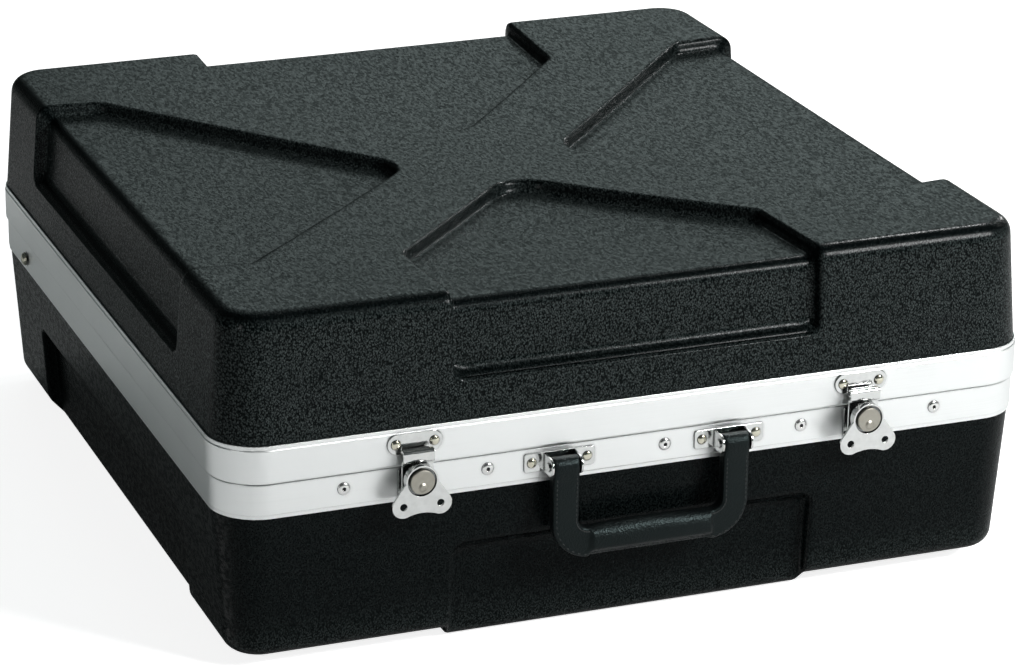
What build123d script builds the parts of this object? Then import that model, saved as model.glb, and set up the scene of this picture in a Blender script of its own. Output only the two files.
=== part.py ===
from build123d import *
from math import hypot
import os

os.makedirs("parts", exist_ok=True)

# Frame: X across the case, Y from front (-Y) to back (+Y), Z up.
# The origin lies under the middle of everything, latches and hinges included, on the surface
# that the pads stand on. The pieces are drawn about the middle of the edge frame and then shifted.

# Overall sizes
case_width = 540.0
case_depth = 550.0
corner_radius = 33.0
lid_height = 104.7
base_height = 127.0
shell_wall = 4.0
draft_angle = 4.3
block_edge_radius = 11.0

# Aluminium edge frames
lid_frame_height = 24.5
base_frame_height = 23.0
frame_wall = 1.5
base_frame_inset = 1.5
frame_web = 4.0
inner_flange_height = 12.0
channel_play = 0.2
groove_width = 3.4
groove_depth = 2.8
tongue_play = 0.4
lip_height = 3.0
lip_relief = 0.5

# Recessed panels of the lid and the pads of the base
panel_depth = 8.0
lid_ledge_height = 50.0
base_ledge_drop = 58.5
pad_drop = 8.0
pad_play = 1.5
front_half_width = 120.5
front_turn = 179.0
front_apex = 45.5
side_half_length = 172.5
side_turn = 217.7
side_apex = 53.4
apex_radius = 25.0
turn_radius = 9.0
top_dish = 10.7
dish_reach = 300.0

# Blind rivets of the base frame
rivet_head_radius = 3.7
rivet_head_height = 1.3
rivet_drop = 9.5
rivet_shank_radius = 1.6
rivet_play = 0.05
mandrel_radius = 1.1
mandrel_depth = 0.9
rivet_crown_share = 0.55
outer_rivet_room = 73.2
inner_rivet_pitch = 48.0
middle_rivet_place = 12.3
rivet_row_shift = 4.3
rear_rivet_pitch = 80.0
side_rivet_room = 82.0
side_rivet_drop = 13.0
solid_rivet_radius = 4.2
solid_rivet_height = 2.0

# Twist latches
latch_side_room = 122.0
keeper_length = 35.0
keeper_height = 13.0
keeper_thickness = 1.2
keeper_rivet_pitch = 24.5
keeper_rivet_rise = 15.2
small_rivet_radius = 2.5
small_rivet_height = 1.6
tab_width = 16.0
tab_reach = 4.2
tab_lip_height = 6.0
tab_drop = 2.0
hook_width = 20.0
hook_thickness = 1.5
hook_gap = 0.3
hook_travel = 6.4
hook_top_rise = 12.8
hook_bend_rise = 5.4
hook_roll_depth = 2.8
hook_bend_radius = 1.3
hook_foot_drop = 19.5
key_axis_drop = 5.2
latch_plate_width = 20.0
latch_plate_height = 20.0
latch_plate_drop = 11.5
latch_plate_thickness = 1.2
post_radius = 4.0
post_play = 0.06
window_play = 0.8
key_front = 14.0
key_thickness = 1.5
key_hub_radius = 10.3
key_hub_depth = 5.0
key_lobe_radius = 7.2
key_hole_radius = 2.3
key_hole_side = 11.8
key_hole_drop = 15.0
key_waist_drop = 20.1
key_shoulder_radius = 2.5
key_shoulder_side = 9.3
key_shoulder_drop = 3.2
key_sink_radius = 9.3
key_sink_depth = 1.6
post_end_gap = 0.3
key_disc_radius = 7.7
key_disc_height = 1.2
disc_rivet_radius = 2.9
disc_rivet_height = 0.8
disc_rivet_drop = 3.2

# Carrying handle
handle_place = 56.5
handle_shift = 2.8
bracket_length = 46.0
bracket_height = 12.0
bracket_thickness = 1.2
bracket_rivet_pitch = 36.4
ear_thickness = 1.3
ear_height = 12.0
ear_play = 0.4
handle_pin_radius = 1.6
handle_pin_play = 0.06
handle_pin_reach = 9.5
handle_pin_drop = 10.0
handle_head_radius = 2.6
handle_head_height = 1.0
handle_head_play = 0.1
strap_width = 17.0
strap_thickness = 9.0
strap_end_radius = 6.0
strap_reach = 61.5
strap_corner_radius = 25.0
strap_bar_height = 19.0
grip_half_length = 41.5
grip_thickness = 16.0
grip_height = 19.0

# Hinges
hinge_side_room = 100.0
hinge_length = 60.0
hinge_leaf_height = 19.0
hinge_leaf_thickness = 1.5
knuckle_radius = 3.2
knuckle_gap = 0.3
hinge_pin_radius = 1.5
hinge_pin_play = 0.05
hinge_pin_head = 2.4
hinge_pin_head_height = 1.0
hinge_axis_reach = 4.0
hinge_rivet_pitch = 38.0
hinge_rivet_rise = 12.0
hinge_head_play = 0.1

# Rack rails
rack_unit = 44.45
rack_hole_side = 7.55
rack_hole_step = 15.875
rack_hole_radius = 3.25
rack_hole_margin = 6.35
rail_side_room = 23.0
rail_end_room = 28.0
rail_flange_width = 22.0
rail_thickness = 2.0
rail_web_height = 26.0
rail_drop = 12.0
rail_bracket_length = 40.0
rail_bracket_room = 54.475
rail_bracket_height = 20.0
rail_bolt_radius = 5.0
rail_bolt_height = 3.0
rail_bracket_bore = 10.0

# Derived sizes
SIDES = {"left": -1, "right": 1}
TO_FOOT = (Align.CENTER, Align.CENTER, Align.MIN)
TO_TOP = (Align.CENTER, Align.CENTER, Align.MAX)
rivet_reach = frame_wall + shell_wall
GRIP_SHARES = ((-1.0, 0.8), (-0.6, 0.97), (0.0, 1.0), (0.6, 0.97), (1.0, 0.8))
parting = base_height
half_width = case_width / 2
half_depth = case_depth / 2
latch_place = half_width - latch_side_room
hinge_place = half_width - hinge_side_room
outer_rivet_place = half_width - outer_rivet_room
inner_rivet_place = handle_place + inner_rivet_pitch
front_rivet_places = [place + rivet_row_shift for place in (
    -outer_rivet_place, -inner_rivet_place, middle_rivet_place, inner_rivet_place, outer_rivet_place)]
rear_rivet_places = (rear_rivet_pitch - hinge_place, hinge_place - rear_rivet_pitch)
side_rivet_place = half_depth - side_rivet_room
rack_units = int((case_depth - 2 * rail_end_room) / rack_unit)
rail_length = rack_units * rack_unit
rail_outer = half_width - rail_side_room
rail_inner = rail_outer - rail_flange_width
rail_bracket_place = rail_length / 2 - rail_bracket_room
lid_front = -half_depth
lid_shell_inset = frame_wall
base_shell_inset = base_frame_inset + frame_wall
block_bottom = pad_drop
lid_top = parting + lid_height
dish_radius = (dish_reach ** 2 + top_dish ** 2) / (2 * top_dish)
over = 20.0
front_reach = key_front + key_disc_height + disc_rivet_height
rear_reach = hinge_axis_reach + knuckle_radius
origin_shift = (front_reach - rear_reach) / 2


# Outline and block helpers

def rounded(inset, height_from, height_to):
    """Upright block with the case's rounded outline, inset from the lid frame's outside."""
    width = case_width - 2 * inset
    depth = case_depth - 2 * inset
    outline = RectangleRounded(width, depth, corner_radius - inset)
    return Pos(0, 0, height_from) * extrude(outline, height_to - height_from)


def drafted(inset, height_from, height_to):
    """Block with the case's rounded outline that draws in away from the parting plane."""
    width = case_width - 2 * inset
    depth = case_depth - 2 * inset
    outline = RectangleRounded(width, depth, corner_radius - inset)
    rise = height_to - height_from
    block = extrude(outline, abs(rise), taper=draft_angle)
    if rise < 0:
        block = Rot(180, 0, 0) * block
    return Pos(0, 0, height_from) * block


def ring(inset_out, inset_in, height_from, height_to):
    return rounded(inset_out, height_from, height_to) - rounded(inset_in, height_from, height_to)


def panel_outline(half_side, turn, apex, edge, grow):
    """Plan of one panel: straight sides that turn in to a rounded apex near the middle."""
    points = [(-half_side, -edge), (-half_side, -turn), (0, -apex), (half_side, -turn), (half_side, -edge)]
    face = make_face(Polyline(*points, close=True))
    ordered = face.vertices().sort_by(Axis.Y)
    face = fillet(ordered[-1:], apex_radius)
    turns = [v for v in face.vertices() if abs(abs(v.X) - half_side) < 1e-6 and v.Y > -edge + 1]
    face = fillet(turns, turn_radius)
    return offset(face, grow, kind=Kind.INTERSECTION) if grow else face


def panel_prisms(grow, height_from, height_to):
    """The four panels as upright prisms, front, back, left and right."""
    rise = height_to - height_from
    front = extrude(panel_outline(front_half_width, front_turn, front_apex, half_depth + over, grow), rise)
    side = extrude(panel_outline(side_half_length, side_turn, side_apex, half_width + over, grow), rise)
    prisms = [front, Rot(0, 0, 180) * front, Rot(0, 0, 90) * side, Rot(0, 0, -90) * side]
    return [Pos(0, 0, height_from) * prism for prism in prisms]


def dish(top):
    """Ball that leaves the lid's top slightly hollow between its corners."""
    return Pos(0, 0, top - top_dish + dish_radius) * Sphere(dish_radius)


def outer_top_edges(body, top):
    """Edges round the lid's top, without the arcs where the hollow meets the flat corners."""
    edges = [edge for edge in body.edges() if edge.center().Z > top - top_dish]
    return [edge for edge in edges if abs(hypot((edge @ 0.5).X, (edge @ 0.5).Y) - dish_reach) > 0.5]


def lid_form(inset):
    """Solid bounded by the lid shell's skin, moved inward by the inset."""
    skin = lid_shell_inset + inset
    start = parting + lid_frame_height
    top = lid_top - inset
    floor = top - panel_depth
    body = rounded(skin, parting, start) + (drafted(skin, start, top) - dish(top))
    body = fillet(outer_top_edges(body, top), block_edge_radius - inset)
    core = drafted(skin + panel_depth, start, floor) - dish(floor)
    for prism in panel_prisms(inset, parting + lid_ledge_height - inset, lid_top + over):
        body -= prism
    return body + core


def base_form(inset):
    """Solid bounded by the base shell's skin, moved inward by the inset."""
    skin = base_shell_inset + inset
    start = parting - base_frame_height
    bottom = block_bottom + inset
    body = rounded(skin, start, parting) + drafted(skin, start, bottom)
    body = fillet(body.edges().group_by(Axis.Z)[0], block_edge_radius - inset)
    pads = drafted(skin + panel_depth, start, inset)
    core = pads & rounded(skin, bottom, parting)
    for prism in panel_prisms(inset, -over, parting - base_ledge_drop + inset):
        body -= prism
    feet = [pads & prism for prism in panel_prisms(-pad_play - inset, -over, start - over)]
    return body + core + feet


# Shells

def lid_shell():
    """Vacuum-formed lid: raised cross and corner blocks round four sunk panels."""
    shell = lid_form(0) - lid_form(shell_wall)
    shell -= rounded(0, parting, parting + frame_web)
    return shell - lid_bores()


def base_shell():
    """Vacuum-formed base: sunk sides above four pads that sit in another case's lid."""
    shell = base_form(0) - base_form(shell_wall)
    shell -= rounded(0, parting - frame_web, parting)
    return shell - base_bores()


# Edge frames

def frame(inset, height, way):
    """Extruded channel round a shell's rim; way is 1 for the lid and -1 for the base."""
    def level(rise):
        return parting + way * rise

    def band(inset_out, inset_in, rise_from, rise_to):
        low, high = sorted((level(rise_from), level(rise_to)))
        return ring(inset_out, inset_in, low, high)

    channel_end = inset + frame_wall + shell_wall + channel_play
    body = band(inset, inset + frame_wall, 0, height)
    body -= band(inset - over, inset + lip_relief, height - lip_height, height)
    body += band(inset + frame_wall, channel_end + frame_wall, 0, frame_web)
    body += band(channel_end, channel_end + frame_wall, 0, inner_flange_height)
    return body


def seal_ring(width, rise):
    """Ring on the middle of the web, for the lid's groove and the base's tongue."""
    middle = base_frame_inset + frame_wall + shell_wall / 2
    return ring(middle - width / 2, middle + width / 2, parting, parting + rise)


def lid_frame():
    return frame(0, lid_frame_height, 1) - seal_ring(groove_width, groove_depth) - lid_bores()


def base_frame():
    tongue = seal_ring(groove_width - 2 * tongue_play, groove_depth - tongue_play)
    return frame(base_frame_inset, base_frame_height, -1) + tongue - base_bores()


# Places on the case's walls: local X runs along the wall, Y up, Z outward

def front(x, rise, reach=0.0):
    return Location((x, lid_front - reach, parting + rise), (90, 0, 0))


def rear(x, rise, reach=0.0):
    return Location((x, half_depth + reach, parting + rise), (-90, 0, 180))


def side(way, y, rise, reach=0.0):
    return Location((way * (half_width + reach), y, parting + rise), (0, way * 90, 0))


# Rivets

def rivet_bore(place, reach):
    """Through hole for a rivet's shank, drilled inward from a place on a wall."""
    hole = Cylinder(rivet_shank_radius + rivet_play, reach + over, align=TO_TOP)
    return place * Pos(0, 0, over / 2) * hole


def rivet_head(radius, height):
    """Low head that slopes in to a flat crown."""
    return Cone(radius, radius * rivet_crown_share, height, align=TO_FOOT)


def solid_rivet(place, radius, height, reach):
    """Solid rivet: a low head on the surface and a shank going in by the reach."""
    return place * (rivet_head(radius, height) + Cylinder(rivet_shank_radius, reach, align=TO_TOP))


def blind_rivet(place, reach):
    """Blind rivet with the open hole that its mandrel left."""
    body = solid_rivet(Location(), rivet_head_radius, rivet_head_height, reach)
    hole = Pos(0, 0, rivet_head_height) * Cylinder(mandrel_radius, 2 * mandrel_depth)
    return place * (body - hole)


def frame_rivet_places():
    drop = -rivet_drop
    places = {f"frame_rivet_front_{n}": front(x, drop, -base_frame_inset)
              for n, x in enumerate(front_rivet_places, 1)}
    places |= {f"frame_rivet_rear_{n}": rear(x, drop, -base_frame_inset)
               for n, x in enumerate(rear_rivet_places, 1)}
    return places


def side_rivet_places():
    return {f"side_rivet_{name}": side(way, side_rivet_place, -side_rivet_drop, -base_frame_inset)
            for name, way in SIDES.items()}


def keeper_rivet_places(name):
    middle = SIDES[name] * latch_place
    return {f"keeper_rivet_{name}_{n}": front(middle + shift, keeper_rivet_rise, keeper_thickness)
            for n, shift in enumerate((-keeper_rivet_pitch / 2, keeper_rivet_pitch / 2), 1)}


def bracket_rivet_places(name):
    middle = SIDES[name] * handle_place + handle_shift
    reach = bracket_thickness - base_frame_inset
    return {f"bracket_rivet_{name}_{n}": front(middle + shift, -rivet_drop, reach)
            for n, shift in enumerate((-bracket_rivet_pitch / 2, bracket_rivet_pitch / 2), 1)}


def lid_bores():
    places = [place for name in SIDES for place in keeper_rivet_places(name).values()]
    return [rivet_bore(place, rivet_reach) for place in places]


def base_bores():
    places = list(frame_rivet_places().values()) + list(side_rivet_places().values())
    places += [place for name in SIDES for place in bracket_rivet_places(name).values()]
    return [rivet_bore(place, rivet_reach) for place in places]


# Twist latches, drawn round the latch's middle at the parting plane: X along, Y up, Z outward

def strip(points, bend, thickness, width):
    """Bent sheet-metal strip: a side view of (reach, rise) points, traced and made wide along X."""
    path = FilletPolyline(*points, radius=bend)
    section = trace(path, thickness)
    return Pos(-width / 2, 0, 0) * Rot(0, -90, 0) * mirror(extrude(section, width), Plane.XY)


def keeper(bores):
    plate = Pos(0, keeper_rivet_rise, 0) * extrude(SlotOverall(keeper_length, keeper_height), keeper_thickness)
    low = keeper_rivet_rise - keeper_height / 2 - tab_drop
    middle = keeper_thickness / 2
    lip = tab_reach - middle
    points = [(middle, keeper_rivet_rise), (middle, low), (lip, low), (lip, low + tab_lip_height)]
    return plate + strip(points, keeper_thickness, keeper_thickness, tab_width) - bores


def latch_plate():
    """Plate on the base frame with the riveted post that the key turns on."""
    foot = -base_frame_inset
    plate = RectangleRounded(latch_plate_width, latch_plate_height, latch_plate_thickness)
    plate = Pos(0, -latch_plate_drop, foot) * extrude(plate, latch_plate_thickness)
    length = key_front - key_sink_depth - post_end_gap - foot
    post = Pos(0, -key_axis_drop, foot) * Cylinder(post_radius, length, align=TO_FOOT)
    return plate + post


def latch_hook():
    """Draw hook: a strap with a window round the post, rolled over at its top."""
    back = tab_reach + hook_gap
    middle = back + hook_thickness / 2
    roll = middle + hook_roll_depth
    top = hook_top_rise - hook_thickness / 2
    points = [(middle, -hook_foot_drop), (middle, hook_bend_rise), (roll, hook_bend_rise), (roll, top), (back, top)]
    strap = strip(points, hook_bend_radius, hook_thickness, hook_width)
    clear = post_radius + window_play
    low = Pos(0, -key_axis_drop - hook_travel, 0) * Cylinder(clear, 4 * middle)
    high = Pos(0, -key_axis_drop, 0) * Cylinder(clear, 4 * middle)
    between = Pos(0, -key_axis_drop - hook_travel / 2, 0) * Box(2 * clear, hook_travel, 4 * middle)
    return strap - low - high - between


def key_outline():
    """Butterfly outline round the key's axis: two lobes with a waist between them."""
    ways = (-1, 1)
    lobes = [Pos(way * key_hole_side, -key_hole_drop) * Circle(key_lobe_radius) for way in ways]
    shoulders = [Pos(way * key_shoulder_side, -key_shoulder_drop) * Circle(key_shoulder_radius) for way in ways]
    step = key_waist_drop - key_hole_drop
    waist_radius = (key_hole_side ** 2 + step ** 2 - key_lobe_radius ** 2) / (2 * (key_lobe_radius - step))
    waist_middle = key_waist_drop + waist_radius
    share = key_lobe_radius / (key_lobe_radius + waist_radius)
    low = key_hole_drop + (waist_middle - key_hole_drop) * share
    edges = [edge for circle in lobes + shoulders for edge in circle.edges()]
    body = make_hull(edges)
    body -= Pos(0, -low - key_lobe_radius) * Rectangle(2 * key_hole_side, 2 * key_lobe_radius)
    body -= Pos(0, -waist_middle) * Circle(waist_radius)
    holes = [Pos(way * key_hole_side, -key_hole_drop) * Circle(key_hole_radius) for way in ways]
    return body + lobes - holes


def latch_key():
    """Butterfly key with a hub behind it and a shallow sink for the disc."""
    plate = Pos(0, 0, key_front - key_thickness) * extrude(key_outline(), key_thickness)
    hub = Pos(0, 0, key_front - key_hub_depth) * Cylinder(key_hub_radius, key_hub_depth, align=TO_FOOT)
    sink = Pos(0, 0, key_front - key_sink_depth) * Cylinder(key_sink_radius, over, align=TO_FOOT)
    bore = Cylinder(post_radius + post_play, 4 * key_front)
    return Pos(0, -key_axis_drop, 0) * (plate + hub - sink - bore)


def latch_disc():
    """Riveted cam disc on the front of the key, with its eccentric rivet."""
    foot = key_front - key_sink_depth
    disc = Cylinder(key_disc_radius, key_disc_height + key_sink_depth, align=TO_FOOT)
    disc = chamfer(disc.edges().group_by(Axis.Z)[-1], key_disc_height / 3)
    head = Pos(0, -disc_rivet_drop, key_disc_height + key_sink_depth) * rivet_head(disc_rivet_radius, disc_rivet_height)
    return Pos(0, -key_axis_drop, foot) * (disc + head)


# Carrying handle, drawn round its middle at the parting plane: X along, Y up, Z outward from the base frame

def handle_bracket(bores):
    """Riveted plate with two ears that hold the handle's pin."""
    plate = RectangleRounded(bracket_length, bracket_height, bracket_thickness)
    body = Pos(0, -rivet_drop, 0) * extrude(plate, bracket_thickness)
    ear_middle = strap_width / 2 + ear_play + ear_thickness / 2
    for way in (-1, 1):
        ear = Cylinder(ear_height / 2, ear_thickness) + Pos(handle_pin_reach / 2, 0, 0) * Box(
            handle_pin_reach, ear_height, ear_thickness)
        body += Pos(way * ear_middle, -handle_pin_drop, handle_pin_reach) * Rot(0, 90, 0) * ear
    bore = Cylinder(handle_pin_radius + handle_pin_play, bracket_length)
    return body - Pos(0, -handle_pin_drop, handle_pin_reach) * Rot(0, 90, 0) * bore - bores


def handle_pin():
    """Pin with a flat head outside each ear."""
    length = strap_width + 2 * (ear_play + ear_thickness + handle_head_play)
    body = Cylinder(handle_pin_radius, length)
    for way in (-1, 1):
        body += Pos(0, 0, way * (length + handle_head_height) / 2) * Cylinder(handle_head_radius, handle_head_height)
    return Pos(0, -handle_pin_drop, handle_pin_reach) * Rot(0, 90, 0) * body


def handle_grip():
    """Stitched strap handle: two legs round the pins, a bar and a swelling grip."""
    width = 2 * handle_place + strap_width
    top = -handle_pin_drop
    low = top - strap_reach
    outline = Pos(0, (top + low) / 2) * Rectangle(width, strap_reach)
    outline = fillet(outline.vertices().group_by(Axis.Y)[0], strap_corner_radius)
    window = Pos(0, (top + low + strap_bar_height) / 2 + over / 2) * Rectangle(
        width - 2 * strap_width, strap_reach - strap_bar_height + over)
    window = fillet(window.vertices().group_by(Axis.Y)[0], strap_corner_radius / 4)
    strap = extrude(outline - window, strap_thickness / 2, both=True)
    leg_end = Rot(0, 90, 0) * Cylinder(strap_end_radius, strap_width)
    bore = Rot(0, 90, 0) * Cylinder(handle_pin_radius + handle_pin_play, 2 * width)
    for way in (-1, 1):
        strap += Pos(way * handle_place, top, 0) * leg_end
    strap -= Pos(0, top, 0) * bore
    middle = low + strap_bar_height / 2
    sections = [Pos(share * grip_half_length, middle, 0) * Rot(0, 90, 0) * Ellipse(
        grip_thickness / 2 * size, grip_height / 2 * size) for share, size in GRIP_SHARES]
    return Pos(0, 0, handle_pin_reach) * (strap + loft(sections, ruled=True))


# Hinges, drawn round the hinge's middle at the parting plane: X along, Y up, Z outward

def knuckles(length, middles):
    """Rolled ends of a hinge leaf round the pin."""
    bore = Cylinder(hinge_pin_radius + hinge_pin_play, 2 * hinge_length)
    barrel = Cylinder(knuckle_radius, length) - bore
    return [Pos(middle, 0, hinge_axis_reach) * Rot(0, 90, 0) * barrel for middle in middles]


def hinge_leaf(foot, way, length, middles, room):
    """Leaf on a frame; way is 1 for the lid's, -1 for the base's, and room clears the other's knuckles."""
    top = hinge_axis_reach - knuckle_radius + hinge_leaf_thickness
    points = [(foot, 0), (foot, way * hinge_leaf_height), (foot + hinge_leaf_thickness, way * hinge_leaf_height),
              (foot + hinge_leaf_thickness, way * knuckle_radius), (top, 0)]
    section = make_face(Polyline(*points, close=True))
    leaf = Rot(0, -90, 0) * extrude(section, hinge_length / 2, both=True)
    for middle, gap in room:
        leaf -= Pos(middle, 0, hinge_axis_reach) * Rot(0, 90, 0) * Cylinder(knuckle_radius + knuckle_gap, gap)
    leaf += knuckles(length, middles)
    head = rivet_head(small_rivet_radius, small_rivet_height)
    for shift in (-hinge_rivet_pitch / 2, hinge_rivet_pitch / 2):
        leaf += Pos(shift, way * hinge_rivet_rise, foot + hinge_leaf_thickness) * head
    bore = Rot(0, 90, 0) * Cylinder(hinge_pin_radius + hinge_pin_play, 2 * hinge_length)
    return leaf - Pos(0, 0, hinge_axis_reach) * bore


def hinge_lid_leaf():
    third = hinge_length / 3
    room = [(way * third, third + 2 * knuckle_gap) for way in (-1, 1)]
    return hinge_leaf(0, 1, third - 2 * knuckle_gap, [0], room)


def hinge_base_leaf():
    third = hinge_length / 3
    return hinge_leaf(-base_frame_inset, -1, third, [-third, third], [(0, third)])


def hinge_pin():
    length = hinge_length + 2 * hinge_head_play
    body = Cylinder(hinge_pin_radius, length)
    for way in (-1, 1):
        body += Pos(0, 0, way * (length + hinge_pin_head_height) / 2) * Cylinder(
            hinge_pin_head, hinge_pin_head_height)
    return Pos(0, 0, hinge_axis_reach) * Rot(0, 90, 0) * body


# Rack rails

def rack_rail(way):
    """Angle rail along the base with three holes in each rack unit."""
    top = parting - rail_drop
    flange = Box(rail_flange_width, rail_length, rail_thickness, align=(Align.MIN, Align.CENTER, Align.MAX))
    web = Box(rail_thickness, rail_length, rail_web_height, align=(Align.MAX, Align.CENTER, Align.MAX))
    body = Pos(rail_inner, 0, top) * flange + Pos(rail_outer, 0, top) * web
    first = -rail_length / 2 + rack_hole_margin
    hole = Cylinder(rack_hole_radius, 4 * rail_thickness)
    holes = [Pos(rail_inner + rack_hole_side, first + unit * rack_unit + step * rack_hole_step, top) * hole
             for unit in range(rack_units) for step in range(3)]
    body -= holes
    body -= rail_bolt_holes()
    return body if way > 0 else mirror(body, Plane.YZ)


def rail_bolt_places():
    x = rail_outer - rail_thickness
    rise = parting - rail_drop - rail_web_height / 2
    return [Location((x, y, rise), (0, -90, 0)) for y in (-rail_bracket_place, rail_bracket_place)]


def rail_bolt_holes():
    return [place * Cylinder(rivet_shank_radius + rivet_play, 2 * rail_bracket_bore) for place in rail_bolt_places()]


def rail_brackets(inside):
    """Blocks that carry a rail off the base's wall, cut to the wall's inner face."""
    low = parting - rail_drop - rail_web_height / 2
    from_rail = (Align.MIN, Align.CENTER, Align.CENTER)
    block = Box(rail_side_room, rail_bracket_length, rail_bracket_height, align=from_rail)
    return [(Pos(rail_outer, y, low) * block & inside) - rail_bolt_holes()
            for y in (-rail_bracket_place, rail_bracket_place)]


def rail_bolts():
    return [solid_rivet(place, rail_bolt_radius, rail_bolt_height, rail_bracket_bore) for place in rail_bolt_places()]


# Assembly

def case_pieces():
    pieces = {"lid_shell": lid_shell(), "base_shell": base_shell(), "lid_frame": lid_frame(),
              "base_frame": base_frame()}
    for name, place in frame_rivet_places().items():
        pieces[name] = blind_rivet(place, rivet_reach)
    for name, place in side_rivet_places().items():
        pieces[name] = solid_rivet(place, solid_rivet_radius, solid_rivet_height, rivet_reach)
    return pieces


def latch_pieces(name):
    middle = SIDES[name] * latch_place
    place = front(middle, 0)
    rivets = keeper_rivet_places(name)
    bores = [place.inverse() * rivet_bore(spot, rivet_reach) for spot in rivets.values()]
    pieces = {spot_name: solid_rivet(spot, small_rivet_radius, small_rivet_height, keeper_thickness + rivet_reach)
              for spot_name, spot in rivets.items()}
    pieces[f"keeper_{name}"] = place * keeper(bores)
    pieces[f"latch_plate_{name}"] = place * latch_plate()
    pieces[f"latch_hook_{name}"] = place * latch_hook()
    pieces[f"latch_key_{name}"] = place * latch_key()
    pieces[f"latch_disc_{name}"] = place * latch_disc()
    return pieces


def handle_pieces():
    pieces = {"handle_grip": front(handle_shift, 0, -base_frame_inset) * handle_grip()}
    for name, way in SIDES.items():
        place = front(way * handle_place + handle_shift, 0, -base_frame_inset)
        rivets = bracket_rivet_places(name)
        bores = [place.inverse() * rivet_bore(spot, rivet_reach) for spot in rivets.values()]
        pieces[f"handle_bracket_{name}"] = place * handle_bracket(bores)
        pieces[f"handle_pin_{name}"] = place * handle_pin()
        for spot_name, spot in rivets.items():
            pieces[spot_name] = solid_rivet(spot, small_rivet_radius, small_rivet_height,
                                            bracket_thickness + rivet_reach)
    return pieces


def hinge_pieces(name):
    place = rear(SIDES[name] * hinge_place, 0)
    return {f"hinge_lid_leaf_{name}": place * hinge_lid_leaf(),
            f"hinge_base_leaf_{name}": place * hinge_base_leaf(),
            f"hinge_pin_{name}": place * hinge_pin()}


def rail_pieces():
    inside = base_form(shell_wall)
    brackets = rail_brackets(inside)
    bolts = rail_bolts()
    pieces = {}
    for name, way in SIDES.items():
        pieces[f"rack_rail_{name}"] = rack_rail(way)
        for end, bracket, bolt in zip(("front", "rear"), brackets, bolts):
            pieces[f"rail_bracket_{name}_{end}"] = bracket if way > 0 else mirror(bracket, Plane.YZ)
            pieces[f"rail_bolt_{name}_{end}"] = bolt if way > 0 else mirror(bolt, Plane.YZ)
    return pieces


pieces = case_pieces() | handle_pieces() | rail_pieces()
for side_name in SIDES:
    pieces |= latch_pieces(side_name) | hinge_pieces(side_name)
for piece_name, piece in pieces.items():
    export_step(Pos(0, origin_shift, 0) * piece, f"parts/{piece_name}.step")
print(len(pieces), "pieces")
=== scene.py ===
import bpy
import bmesh
import numpy as np
from mathutils import Matrix, Vector
from math import cos, sin, tan, radians, pi


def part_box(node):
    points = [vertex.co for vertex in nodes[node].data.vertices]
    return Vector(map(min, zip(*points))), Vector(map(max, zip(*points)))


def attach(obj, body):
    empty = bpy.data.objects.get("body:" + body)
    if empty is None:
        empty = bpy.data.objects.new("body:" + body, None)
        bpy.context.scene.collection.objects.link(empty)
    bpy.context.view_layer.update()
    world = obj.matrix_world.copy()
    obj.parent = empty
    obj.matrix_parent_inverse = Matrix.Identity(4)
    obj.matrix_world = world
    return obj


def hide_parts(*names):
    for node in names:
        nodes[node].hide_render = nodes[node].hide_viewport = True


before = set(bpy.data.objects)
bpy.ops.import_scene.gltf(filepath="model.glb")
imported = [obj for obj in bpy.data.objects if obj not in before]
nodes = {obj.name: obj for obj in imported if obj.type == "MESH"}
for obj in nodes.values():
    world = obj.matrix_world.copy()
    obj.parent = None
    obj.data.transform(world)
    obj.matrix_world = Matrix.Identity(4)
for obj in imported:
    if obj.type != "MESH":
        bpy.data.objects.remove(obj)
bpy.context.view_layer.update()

# A black vacuum-formed rack case with an aluminium edge frame, twist latches and a strap handle.
# Sizes here are in millimetres, in the model's own frame: X across, -Y front, Z up.

MM = 0.001
SHIFT = 4.4  # the case's middle lies this far behind the origin
HALF_WIDTH, HALF_DEPTH = 270.0, 275.0
CORNER = 33.0
PARTING = 127.0  # height of the plane where lid and base meet
DRAFT = radians(4.3)
WALL = 4.0
PANEL_DEPTH = 8.0
BLOCK_EDGE, PANEL_EDGE = 11.0, 9.0  # rounds from the flat face to the walls
RIM = 4.0  # height over the parting plane where the skins end, behind the frames
HANDLE_MIDDLE = 2.8
SIDES = {"left": -1, "right": 1}


# ---------------------------------------------------------------- materials

class Value:
    """A number or colour that changes over a surface; Python arithmetic on it adds Math nodes."""

    def __init__(self, finish, socket):
        self.finish, self.socket = finish, socket

    def math(self, operation, *operands):
        return self.finish.add("ShaderNodeMath", {"operation": operation}, dict(enumerate(operands)))

    def __add__(self, other): return self.math("ADD", self, other)
    def __radd__(self, other): return self.math("ADD", other, self)
    def __sub__(self, other): return self.math("SUBTRACT", self, other)
    def __rsub__(self, other): return self.math("SUBTRACT", other, self)
    def __mul__(self, other): return self.math("MULTIPLY", self, other)
    def __rmul__(self, other): return self.math("MULTIPLY", other, self)
    def __pow__(self, other): return self.math("POWER", self, other)

    def band(self, low, high):
        """Smooth rise from 0 at low to 1 at high."""
        return self.finish.add("ShaderNodeMapRange", {"interpolation_type": "SMOOTHSTEP"},
                               {"Value": self, "From Min": low, "From Max": high})


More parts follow.
